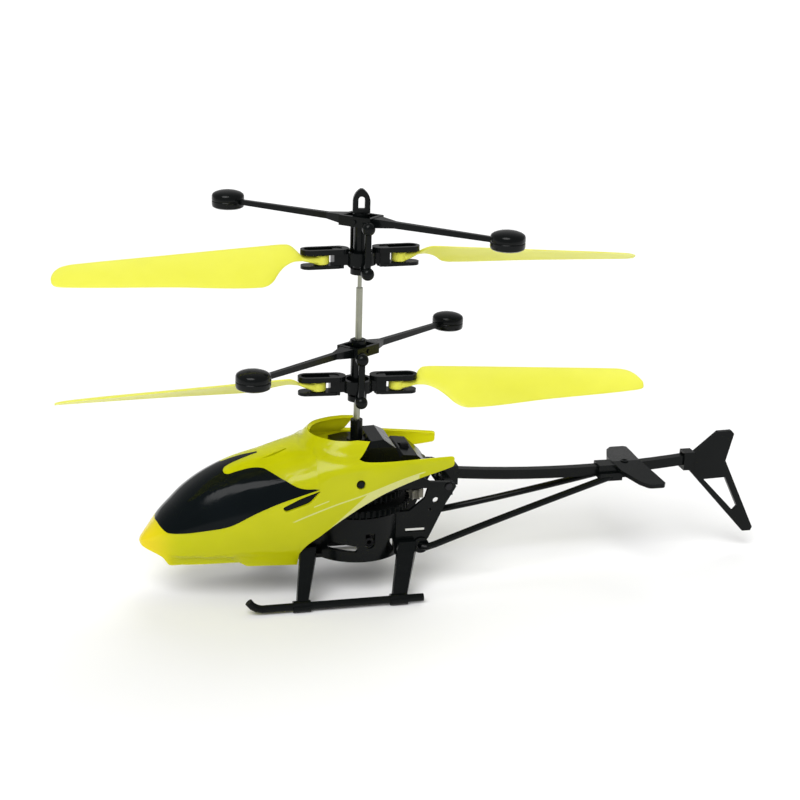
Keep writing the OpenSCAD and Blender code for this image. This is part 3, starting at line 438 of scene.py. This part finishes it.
def band_edges(x):
    """Where the skirt, screen, shoulder and crown bands of a half section meet."""
    low = v_at_z(x, low_z(x))
    if x <= SCREEN_END:
        mid = min(0.93, v_at_z(x, screen_low_z(x)))
    else:
        mid = v_at_z(x, 29 + (x - SCREEN_END) * 0.115)
    if x <= PRONG_START:
        spread = ease(0, 8, PRONG_START - x)
        high = v_at_y(x, 3.6) * (1 - spread) + (mid + (1 - mid) * 0.35) * spread
        crown = v_at_y(x, 3.4) * (1 - spread) + (mid + (1 - mid) * 0.7) * spread
        high, crown = max(high, mid + 0.01), max(crown, high + 0.01)
    else:
        high = v_at_y(x, screen_top_y(x)) if x <= SCREEN_END else v_at_z(x, wing_top_z(x))
        if x <= HOOD_START:
            crown = v_at_y(x, prong_y(x))
        else:
            front = min(0, x - HOOD_CENTRE)
            crown = v_at_y(x, math.sqrt(max(0.01, HOOD_RIM ** 2 - front ** 2)))
        high = max(high, mid + 0.006)
        crown = max(crown, high + 0.004)
    return low, mid, high, crown, 1


BAND_CELLS = (16, 12, 9, 10)


def spaced(start, end, step):
    count = max(1, round((end - start) / step))
    return [start + (end - start) * k / count for k in range(count)]


def body_stations():
    """Stations along x, closer together where an outline turns fast."""
    xs = [NOSE_X, -52.72, -52.6, -52.4, -52.2] + spaced(-51.9, SCREEN_START, 0.6)
    xs += spaced(SCREEN_START, -46.3, 0.3) + spaced(-46.3, PRONG_START, 0.75)
    xs += [PRONG_START, -32.94, -32.85, -32.7, -32.5, -32.2] + spaced(-31.9, PRONG_END, 0.65)
    xs += spaced(PRONG_END, -16.25, 0.65) + [-16.25, -15.95]
    xs += spaced(-15.5, HOOD_START, 0.6)
    turns = 16
    xs += [HOOD_CENTRE - HOOD_RIM * math.cos(math.pi / 2 * k / turns) for k in range(turns)]
    xs = sorted(xs + [SCREEN_END])
    xs += [HOOD_CENTRE, NOTCH_X, -1.5, -1.1, -0.6, 0] + spaced(0.8, 20.5, 0.8)
    return xs + spaced(20.5, WING_END, 0.3) + [WING_END]


def is_screen(x, band):
    if SCREEN_START < x < PRONG_START:
        return band > 0
    if PRONG_START < x < PRONG_END:
        return band in (1, 3)
    return PRONG_END < x < SCREEN_END and band == 1


def is_open(x, band):
    return (x > HOOD_START and band == 3) or (x > NOTCH_X and band > 1)


def body_point(x, band, part, side):
    """A point of the outer skin; the hood's rear edge leans back towards its tip."""
    if band == 2 and x > WARP_START:
        lean = min(1, (x - WARP_START) / (NOTCH_X - WARP_START)) ** 2
        x += TIP_REACH * part * lean
    edges = band_edges(x)
    y, z = section(x, edges[band] + (edges[band + 1] - edges[band]) * part)
    return x, side * y, z


def body_sheet(screen):
    """Points and faces of the outer skin of the canopy, or of the windscreen."""
    half = [(b, k / cells) for b, cells in enumerate(BAND_CELLS) for k in range(cells)]
    lines = [(b, f, -1) for b, f in half] + [(3, 1.0, -1)] + [(b, f, 1) for b, f in half[::-1]]
    stations = body_stations()
    n = len(lines)
    points = [body_point(x, b, f, side) for x in stations for b, f, side in lines]
    faces = []
    for i in range(len(stations) - 1):
        x = (stations[i] + stations[i + 1]) / 2
        for j in range(n - 1):
            band = lines[j][0] if j < n // 2 else lines[j + 1][0]
            if is_screen(x, band) == screen and (screen or not is_open(x, band)):
                a = i * n + j
                faces.append((a, a + n, a + n + 1, a + 1))
    used = sorted({v for face in faces for v in face})
    place = {v: k for k, v in enumerate(used)}
    return [points[v] for v in used], [tuple(place[v] for v in face) for face in faces]


def prism(outline, axis, start, end):
    """A closed cutter: an outline in the plane across an axis, drawn out along it."""
    order = {"y": lambda p, d: (p[0], d, p[1]), "z": lambda p, d: (p[0], p[1], d)}[axis]
    n = len(outline)
    points = [order(p, d) for d in (start, end) for p in outline]
    faces = [tuple(range(n - 1, -1, -1)), tuple(range(n, 2 * n))]
    faces += [(k, (k + 1) % n, n + (k + 1) % n, n + k) for k in range(n)]
    return points, faces


def rounded(outline, radius, steps=4):
    """An outline with its corners rounded."""
    out = []
    n = len(outline)
    for k, corner in enumerate(outline):
        corner = Vector(corner)
        before, after = Vector(outline[k - 1]), Vector(outline[(k + 1) % n])
        reach = min(radius, (before - corner).length * 0.45, (after - corner).length * 0.45)
        a = corner + (before - corner).normalized() * reach
        b = corner + (after - corner).normalized() * reach
        for s in range(steps + 1):
            t = s / steps
            out.append(tuple(a.lerp(corner, t).lerp(corner.lerp(b, t), t)))
    return out


def circle(x, y, r, steps=32):
    return [(x + r * math.cos(2 * math.pi * k / steps), y + r * math.sin(2 * math.pi * k / steps))
            for k in range(steps)]


def join(piece, shells):
    """Joins closed shells to a piece as one skin."""
    turn_outwards(piece.data)
    carve(piece, shells, "UNION")


def turn_outwards(mesh):
    """Turns a closed mesh's faces outwards."""
    solid = bmesh.new()
    solid.from_mesh(mesh)
    bmesh.ops.recalc_face_normals(solid, faces=solid.faces)
    solid.to_mesh(mesh)
    solid.free()


def cut(piece, cutters):
    """Takes cutters away from a piece, with its modifiers applied."""
    carve(piece, cutters, "DIFFERENCE")


def carve(piece, shells, operation):
    """Joins closed shells to a piece, or takes them away, and applies all its modifiers."""
    made = []
    for points, faces in shells:
        mesh = bpy.data.meshes.new("cutter")
        mesh.from_pydata([in_frame(p) for p in points], [], faces)
        turn_outwards(mesh)
        cutter = bpy.data.objects.new("cutter", mesh)
        bpy.context.scene.collection.objects.link(cutter)
        made.append(cutter)
        step = piece.modifiers.new("carve", "BOOLEAN")
        step.operation = operation
        step.solver = "EXACT"
        step.object = cutter
    apply_modifiers(piece)
    for cutter in made:
        bpy.data.meshes.remove(cutter.data)


def apply_modifiers(piece):
    """Replaces a piece's mesh with its mesh after modifiers."""
    graph = bpy.context.evaluated_depsgraph_get()
    mesh = bpy.data.meshes.new_from_object(piece.evaluated_get(graph), depsgraph=graph)
    old = piece.data
    piece.modifiers.clear()
    piece.data = mesh
    mesh.name = old.name
    bpy.data.meshes.remove(old)


def thicken(piece, wall):
    """Gives a skin its wall, inwards, in millimetres."""
    shell = piece.modifiers.new("wall", "SOLIDIFY")
    shell.thickness = wall * MM
    shell.offset = -1
    shell.use_even_offset = True


stripe_line = curve([[-17.5, 21.3], [-15.9, 22], [-11, 23.9], [-6.7, 25.4], [-0.4, 27.2],
                     [7.5, 29.6], [12, 30.6], [16, 31.3]])


def paint_marks(mesh):
    """Stores the printed stripe's distances, where the nose takes its painted warm light and where the
    inner walls take painted light, for the material.
    """
    names = ("along", "above_stripe", "nose", "inner")
    for name in names:
        mesh.attributes.new(name, "FLOAT", "POINT")
    marks = {name: mesh.attributes[name] for name in names}
    for k, vertex in enumerate(mesh.vertices):
        x = (vertex.co.x - MAST_X) / MM
        z = vertex.co.z / MM
        marks["along"].data[k].value = x
        marks["above_stripe"].data[k].value = z - stripe_line(x)
        # Painted warm light on the nose, fading out between x = -52 and x = -43.5.
        marks["nose"].data[k].value = 1 - ease(-52, -43.5, x)
        # Painted light on the inner walls behind x = -16, standing in for light through the translucent
        # shell.
        outwards = Vector((0, vertex.co.y, vertex.co.z - waist_z(x) * MM))
        marks["inner"].data[k].value = ease(-16, -11, x) * (vertex.normal.dot(outwards) < 0)


VENT = [(-20.3, 24.8), (-19.4, 23.7), (-13.6, 25.8), (-10.9, 28.9), (-16.2, 26.9)]
SLIT = [(-24.2, -4), (-21, -3.35), (-17.9, -2.95), (-17.8, -3.55), (-21, -4.15)]
PEG_X, PEG_Z, PEG_HOLE = -1.6, 29.8, 1.1


def make_canopy():
    """The yellow shell with its vents, slits and peg holes."""
    piece = piece_from("canopy_shell", *body_sheet(False), "airframe", "canopy", ["canopy"])
    thicken(piece, WALL)
    cutters = []
    for side in (-1, 1):
        cutters.append(prism(rounded(VENT, 0.9), "y", side * 9, side * 16))
        cutters.append(prism([(x, -side * y) for x, y in SLIT], "z", 31, 42))
        cutters.append(prism(circle(PEG_X, PEG_Z, PEG_HOLE), "y", side * 11, side * 17))
    cut(piece, cutters)
    paint_marks(piece.data)
    soften(piece, 0.00022, 3)
    return piece


# The flange's reach along x and over the half section, its depth under the skin and its wall
FLANGE_START, FLANGE_END, FLANGE_LOW, FLANGE_HIGH = -25.5, -10.4, -0.12, 0.93
FLANGE_INSET, FLANGE_WALL = 0.86, 0.6
FLANGE_TAPER_START, FLANGE_TAPER = -15, 0.35


def inner_flange(side):
    """The windscreen's flange behind the canopy, which backs the vent and the slit."""
    xs = spaced(FLANGE_START, FLANGE_END, 0.7) + [FLANGE_END]
    vs = spaced(FLANGE_LOW, FLANGE_HIGH, 0.05) + [FLANGE_HIGH]
    layers = []
    for depth in (FLANGE_INSET, FLANGE_INSET + FLANGE_WALL):
        for x in xs:
            for v in vs:
                taper = 1 - FLANGE_TAPER * ease(FLANGE_TAPER_START, FLANGE_END, x)
                v = FLANGE_LOW + (v - FLANGE_LOW) * taper
                y, z = section(x, v)
                ya, za = section(x, v + 0.01)
                away = Vector((ya - y, za - z)).normalized()
                layers.append((x, side * (y - away.y * depth), z + away.x * depth))
    rows, n = len(xs), len(vs)

    def at(layer, i, j):
        return layer * rows * n + i * n + j

    faces = []
    for layer in (0, 1):
        faces += [(at(layer, i, j), at(layer, i + 1, j), at(layer, i + 1, j + 1), at(layer, i, j + 1))
                  for i in range(rows - 1) for j in range(n - 1)]
    for i in (0, rows - 1):
        faces += [(at(0, i, j), at(0, i, j + 1), at(1, i, j + 1), at(1, i, j)) for j in range(n - 1)]
    for j in (0, n - 1):
        faces += [(at(0, i, j), at(0, i + 1, j), at(1, i + 1, j), at(1, i, j)) for i in range(rows - 1)]
    return layers, faces


def add_shell(piece, points, faces):
    """Adds a closed shell to a piece's mesh, with its faces turned outwards."""
    solid = bmesh.new()
    corners = [solid.verts.new(in_frame(p)) for p in points]
    for face in faces:
        solid.faces.new([corners[k] for k in face])
    bmesh.ops.recalc_face_normals(solid, faces=solid.faces)
    solid.from_mesh(piece.data)
    solid.to_mesh(piece.data)
    solid.free()


def make_windscreen():
    """The smoked pane with its inner flanges."""
    points, faces = body_sheet(True)
    piece = piece_from("windscreen_pane", points, faces, "airframe", "windscreen", ["windscreen"])
    thicken(piece, WALL)
    apply_modifiers(piece)
    for side in (-1, 1):
        add_shell(piece, *inner_flange(side))
    soften(piece, 0.0002, 3)
    return piece


canopy = make_canopy()
windscreen = make_windscreen()

# ---------------------------------------------------------------- blades

# Leading edge, trailing edge and height above the root, by distance from the mast
lead_y = curve([[14.2, 1.1], [14.7, 2.2], [15.4, 3.5], [16.6, 4.4], [19, 4.65], [46, 4.4],
                [66, 4.1], [68.4, 3.6], [70.2, 2.2], [71.1, 0.6], [71.5, -0.8]])
trail_y = curve([[14.2, -1.1], [16.6, -1.9], [18.8, -3.2], [20.8, -5.4], [22.6, -8],
                 [24.3, -9.4], [25.8, -9.8], [46, -7.4], [68.4, -4.6], [70.4, -4.1],
                 [71.2, -3.5], [71.5, -2.6]])
lift_z = curve([[14.2, 0.4], [17, 0.9], [71.5, 0.9]])
ROOT_R, TIP_R, ROOT_PITCH, TIP_PITCH = 14.2, 71.5, 28, 21
BLADE_WALL, CAMBER = 0.9, 0.05
PIN_R, LUG_R, LUG_LOW, LUG_TOP, NECK_R = 9.5, 1.9, -1.15, 1.1, 10.4
CHORD_STEPS = 12
NECK_STATIONS = (NECK_R, 11, 11.8, 12.6, 13.4)
NECK_HALF_Y, NECK_HALF_Z, NECK_Z = 1.75, 0.95, -0.02


def blade_ring(r):
    """Closed section of the cambered sheet at one distance from the mast."""
    pitch = math.radians(ROOT_PITCH + (TIP_PITCH - ROOT_PITCH) * (r - ROOT_R) / (TIP_R - ROOT_R))
    a, b = lead_y(r), trail_y(r)
    wall = BLADE_WALL * (1 - 0.3 * ease(58, 69, r))
    ring = []
    for k in range(2 * CHORD_STEPS):
        turn = math.pi * k / CHORD_STEPS
        q = (1 - math.cos(turn)) / 2
        hump = math.sin(math.pi * q) ** 0.75 if 0 < q < 1 else 0
        edge = math.copysign(abs(math.sin(turn)) ** 0.5, math.sin(turn)) if k % CHORD_STEPS else 0
        y = a + (b - a) * q
        z = CAMBER * (a - b) * hump + wall * edge * (0.16 + 0.29 * hump)
        ring.append((r, y * math.cos(pitch) - z * math.sin(pitch),
                     y * math.sin(pitch) + z * math.cos(pitch) + lift_z(r)))
    return ring


def neck_ring(r, droop):
    """Section of the neck: from a block at the lug to the sheet's root."""
    part = (r - NECK_R) / (ROOT_R - NECK_R)
    root = [drooped(p, droop) for p in blade_ring(ROOT_R)]
    ring = []
    for k, (x, y, z) in enumerate(root):
        turn = math.pi * k / CHORD_STEPS
        block_y = NECK_HALF_Y * math.copysign(abs(math.cos(turn)) ** 0.5, math.cos(turn))
        block_z = NECK_HALF_Z * math.copysign(abs(math.sin(turn)) ** 0.5, math.sin(turn)) + NECK_Z
        blend = part ** 1.6
        ring.append((r, block_y + (y - block_y) * blend, block_z + (z - block_z) * blend))
    return ring


def drooped(point, droop):
    """The sheet hangs from its root by a small angle."""
    c, s = math.cos(math.radians(droop)), math.sin(math.radians(droop))
    x, z = point[0] - ROOT_R, point[2]
    return ROOT_R + x * c + z * s, point[1], z * c - x * s


def loft(rings):
    """A closed skin through rings with the same number of points."""
    n = len(rings[0])
    points = [p for ring in rings for p in ring]
    last = (len(rings) - 1) * n
    faces = [tuple(range(n)), tuple(range(last + n - 1, last - 1, -1))]
    faces += [(i * n + k, (i + 1) * n + k, (i + 1) * n + (k + 1) % n, i * n + (k + 1) % n)
              for i in range(len(rings) - 1) for k in range(n)]
    return points, faces


def lathe(profile, steps=40):
    """A closed turned shape from [radius, height] pairs that start and end off the axis."""
    return loft([[(r * math.cos(2 * math.pi * k / steps), r * math.sin(2 * math.pi * k / steps), z)
                  for k in range(steps)] for r, z in profile])


def blade_parts(droop):
    """The sheet with its neck, the round lug, and the moulded pin."""
    stations = spaced(ROOT_R, 27, 0.35) + spaced(27, 64, 1.6) + spaced(64, 71, 0.35)
    stations += [71, 71.2, 71.35, 71.45, TIP_R]
    rings = [neck_ring(r, droop) for r in NECK_STATIONS]
    rings += [[drooped(p, droop) for p in blade_ring(r)] for r in stations]
    lug = lathe([(1.5, LUG_LOW), (1.8, LUG_LOW + 0.08), (LUG_R, LUG_LOW + 0.3),
                 (LUG_R, LUG_TOP - 0.3), (1.8, LUG_TOP - 0.08), (1.5, LUG_TOP)])
    pin = lathe([(0.45, -2.4), (0.62, -2.25), (0.62, 1.55), (0.5, 1.7)], 24)
    turned = [([(x + PIN_R, y, z) for x, y, z in points], faces) for points, faces in (lug, pin)]
    return [loft(rings)] + turned


def on_rotor(point, plane, azimuth, turned, mirrored):
    """A point of a blade drawn along X, in its place on its rotor."""
    x, y, z = point
    if turned:
        x, y = -x, -y
    if mirrored:
        y = -y
    c, s = math.cos(math.radians(azimuth)), math.sin(math.radians(azimuth))
    return x * c - y * s, x * s + y * c, z + plane


# Each rotor's plane, the turn of its blades about the mast, and whether it is a mirror image
LOWER, UPPER = (50.3, -3.1, False), (81.6, 4.1, True)
# Each blade's rotor, whether it points to the nose, and its droop
BLADES = {"lower_blade_front": (LOWER, True, 3.8), "lower_blade_rear": (LOWER, False, 1.4),
          "upper_blade_front": (UPPER, True, 2.4), "upper_blade_rear": (UPPER, False, 3.7)}


def make_blade(name, rotor, turned, droop):
    """One blade, which swings on its own body."""
    plane, azimuth, mirrored = rotor
    shells = [([on_rotor(p, plane, azimuth, turned, mirrored) for p in points], faces)
              for points, faces in blade_parts(droop)]
    piece = piece_from(name + "_sheet", *shells[0], name, "blade_plastic", [name])
    join(piece, shells[1:])
    soften(piece, 0.00012)
    return piece


for name, (rotor, turned, droop) in BLADES.items():
    make_blade(name, rotor, turned, droop)

# ---------------------------------------------------------------- flybar weights and link rods

FLYBAR_LIFT, FLYBAR_R = 8.9, 38
LOWER_FLYBAR_TURN, LOWER_FLYBAR_TILT, UPPER_FLYBAR_TURN = 43.5, 1.5, 47.6
# Half profile of a weight, and of a link's cup by its depth from the open rim
WEIGHT = [(0.4, -2.35), (1.1, -2.3), (1.25, -1.9), (3.3, -1.85), (3.8, -1.55), (3.95, -1.1),
          (3.98, -0.16), (3.86, -0.06), (3.86, 0.06), (3.98, 0.16), (3.95, 1.15), (3.75, 1.6),
          (3.2, 1.98), (2.2, 2.32), (1.1, 2.5), (0.3, 2.55)]
CUP = [(0.05, 1.8), (1.0, 1.75), (1.0, 0.18), (1.38, 0.18), (1.5, 0.32), (1.52, 1.1), (1.42, 1.55),
       (1.15, 1.95), (0.75, 2.2), (0.35, 2.3), (0.05, 2.32)]
LINK_LOW, LINK_TOP, LINK_Y = -2.6, 8.0, -5.4
LINK_BAR = [(-0.6, -6.6), (0.6, -6.6), (0.75, -6.35), (0.75, -5.75), (0.55, -5.58), (-0.55, -5.58),
            (-0.75, -5.75), (-0.75, -6.35)]


def make_weights(name, body, rotor, turn, tilt):
    """Two domed weights with a seam round the middle, at the ends of one flybar."""
    plane, azimuth, mirrored = rotor
    place = Matrix.Rotation(math.radians(turn), 3, "Z") @ Matrix.Rotation(math.radians(tilt), 3, "Y")
    shells = []
    for end in (1, -1):
        points, faces = lathe(WEIGHT, 48)
        moved = [place @ Vector((x + end * FLYBAR_R, y, z)) for x, y, z in points]
        shells.append(([on_rotor((p.x, p.y, p.z + FLYBAR_LIFT), plane, azimuth, False, mirrored)
                        for p in moved], faces))
    piece = piece_from(name + "_round", *shells[0], body, "weights", [name])
    turn_outwards(piece.data)
    add_shell(piece, *shells[1])
    soften(piece, 0.0001)


def make_link(name, rotor, turned):
    """A push rod with a domed cup at each end."""
    plane, azimuth, mirrored = rotor
    shells = [prism(LINK_BAR, "z", LINK_LOW + 1.1, LINK_TOP - 1.1)]
    for height in (LINK_LOW, LINK_TOP):
        points, faces = lathe(CUP, 32)
        shells.append(([(x, LINK_Y - depth, y + height) for x, y, depth in points], faces))
    shells = [([on_rotor(p, plane, azimuth, turned, mirrored) for p in points], faces)
              for points, faces in shells]
    piece = piece_from(name + "_rod", *shells[0], name, "rotor_plastic", [name])
    join(piece, shells[1:])
    soften(piece, 0.0001)


make_weights("lower_weights", "lower_flybar", LOWER, LOWER_FLYBAR_TURN, LOWER_FLYBAR_TILT)
make_weights("upper_weights", "upper_flybar", UPPER, UPPER_FLYBAR_TURN, 0)
for name, rotor, turned in (("lower_link_port", LOWER, False), ("lower_link_starboard", LOWER, True),
                            ("upper_link_port", UPPER, True), ("upper_link_starboard", UPPER, False)):
    make_link(name, rotor, turned)

# ---------------------------------------------------------------- stage

VIEW_AIM = (8.85, -7.33, 48.31)
VIEW_AZIMUTH = math.radians(-14.17)
VIEW_ELEVATION = math.radians(18.21)
VIEW_ROLL = math.radians(1.82)
VIEW_DISTANCE = 374.1
FOCAL_PER_WIDTH = 1570.95 / 800


def look(camera):
    """Stands the camera at the photograph's viewing angle and distance."""
    back = Vector((math.sin(VIEW_AZIMUTH) * math.cos(VIEW_ELEVATION),
                   -math.cos(VIEW_AZIMUTH) * math.cos(VIEW_ELEVATION),
                   math.sin(VIEW_ELEVATION)))
    level = Vector((math.cos(VIEW_AZIMUTH), math.sin(VIEW_AZIMUTH), 0))
    rise = back.cross(level)
    right = level * math.cos(VIEW_ROLL) + rise * math.sin(VIEW_ROLL)
    up = rise * math.cos(VIEW_ROLL) - level * math.sin(VIEW_ROLL)
    eye = Vector(VIEW_AIM) + back * VIEW_DISTANCE
    rotation = Matrix((right, up, back)).transposed().to_4x4()
    camera.matrix_world = Matrix.Translation(in_frame(eye)) @ rotation


camera_data = bpy.data.cameras.new("camera")
camera_data.sensor_width = 36
camera_data.lens = 36 * FOCAL_PER_WIDTH
camera_data.clip_start = 0.01
camera = bpy.data.objects.new("camera", camera_data)
bpy.context.scene.collection.objects.link(camera)
look(camera)
bpy.context.scene.camera = camera


def sunlight(name, direction, spread, strength, glossy=True):
    """Even studio light from far away, softened over a wide angle."""
    data = bpy.data.lights.new(name, "SUN")
    data.angle = math.radians(spread)
    data.energy = strength
    light = bpy.data.objects.new(name, data)
    bpy.context.scene.collection.objects.link(light)
    light.rotation_euler = (-Vector(direction)).to_track_quat("-Z", "Y").to_euler()
    light.visible_glossy = glossy


sunlight("key", (-0.35, -0.55, 0.8), 40, 2.3)
sunlight("back", (0.45, 0.75, 0.7), 50, 1.5, glossy=False)

floor_mesh = bpy.data.meshes.new("floor")
reach = 6.0
floor_mesh.from_pydata([(-reach, -reach, 0), (reach, -reach, 0), (reach, reach, 0), (-reach, reach, 0)],
                       [], [(0, 1, 2, 3)])
floor = bpy.data.objects.new("floor", floor_mesh)
bpy.context.scene.collection.objects.link(floor)
pale = Nodes("floor_pale")
pale.link(pale.ramp(pale.noise(3, 2), [(0.3, (0.86, 0.86, 0.86)), (0.7, (0.9, 0.9, 0.9))]),
          pale.shader.inputs["Base Color"])
pale.set(Roughness=0.9)
floor.data.materials.append(pale.material)

world = bpy.data.worlds.new("studio")
world.use_nodes = True
world.node_tree.nodes["Background"].inputs["Color"].default_value = (1, 1, 1, 1)
world.node_tree.nodes["Background"].inputs["Strength"].default_value = 0.42
bpy.context.scene.world = world
bpy.context.scene.view_settings.view_transform = "Standard"
